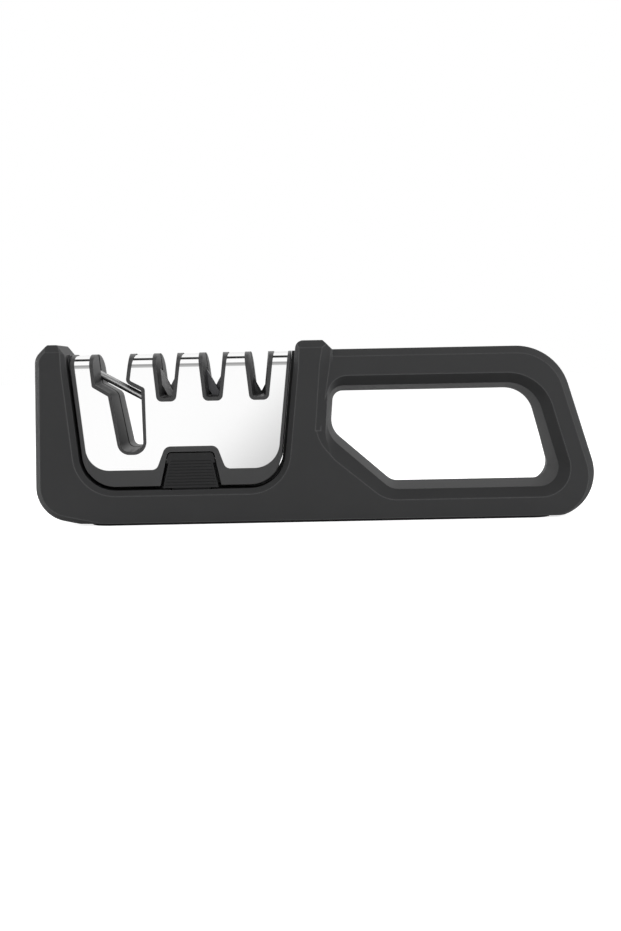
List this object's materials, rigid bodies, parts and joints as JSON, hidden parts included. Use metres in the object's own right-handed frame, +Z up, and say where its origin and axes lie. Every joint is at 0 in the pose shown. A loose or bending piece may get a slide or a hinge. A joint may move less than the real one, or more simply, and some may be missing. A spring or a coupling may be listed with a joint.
{
  "type": "pull-through knife sharpener",
  "caption": "Hand-held pull-through sharpener: dark plastic body with a loop handle and a lift-out steel-clad head with V slots for knives and a slanted rod slot for scissors.",
  "frame": {"origin": "middle of the base on the surface it stands on, on the plane where the front and rear halves meet", "axes": "+X along the body from the head's end to the handle's end, -Y to the front, +Z up"},
  "size_m": [0.219, 0.0438, 0.0709],
  "materials": {
    "housing_plastic": "satin, fine texture",
    "base_plastic": "matt",
    "pad_rubber": "matt",
    "screw_steel": "plated",
    "frame_plastic": "semi-gloss",
    "cover_steel": "polished",
    "rod_steel": "ground",
    "diamond_grit": "fine grit",
    "carbide": "ground",
    "ceramic": "matt ceramic",
    "button_plastic": "matt, ribbed",
    "pin_steel": "drawn",
    "spring_steel": "drawn"
  },
  "bodies": {
    "body": {"front_housing": "housing_plastic", "rear_housing": "housing_plastic", "base_cover": "base_plastic", "base_pad": "pad_rubber", "housing_screws": "screw_steel", "base_screws": "screw_steel"},
    "head": {"head_frame_front": "frame_plastic", "head_frame_rear": "frame_plastic", "head_screws": "screw_steel", "steel_cover": "cover_steel", "scissor_rod": "rod_steel", "diamond_plate_left": "diamond_grit", "diamond_plate_right": "diamond_grit", "carbide_blade_left": "carbide", "carbide_blade_right": "carbide", "ceramic_rod_left": "ceramic", "ceramic_rod_right": "ceramic", "front_button_pin": "pin_steel", "rear_button_pin": "pin_steel", "front_button_spring": "spring_steel", "rear_button_spring": "spring_steel"},
    "front_button": {"front_release_button": "button_plastic"},
    "rear_button": {"rear_release_button": "button_plastic"}
  },
  "joints": [
    {"name": "head_lift", "type": "slide", "parent": "body", "child": "head", "axis": [0, 0, 1], "range_m": [0, 0.075]},
    {"name": "front_button_press", "type": "hinge", "parent": "head", "child": "front_button", "pos_m": [-0.04847, -0.01294, 0.025], "axis": [1, 0, 0], "range_deg": [0, 5], "stiffness_Nm_per_rad": 0.05, "springref_deg": -11.46, "deforming": ["front_button_spring"]},
    {"name": "rear_button_press", "type": "hinge", "parent": "head", "child": "rear_button", "pos_m": [-0.04847, 0.01294, 0.025], "axis": [-1, 0, 0], "range_deg": [0, 5], "stiffness_Nm_per_rad": 0.05, "springref_deg": -11.46, "deforming": ["rear_button_spring"]}
  ]
}
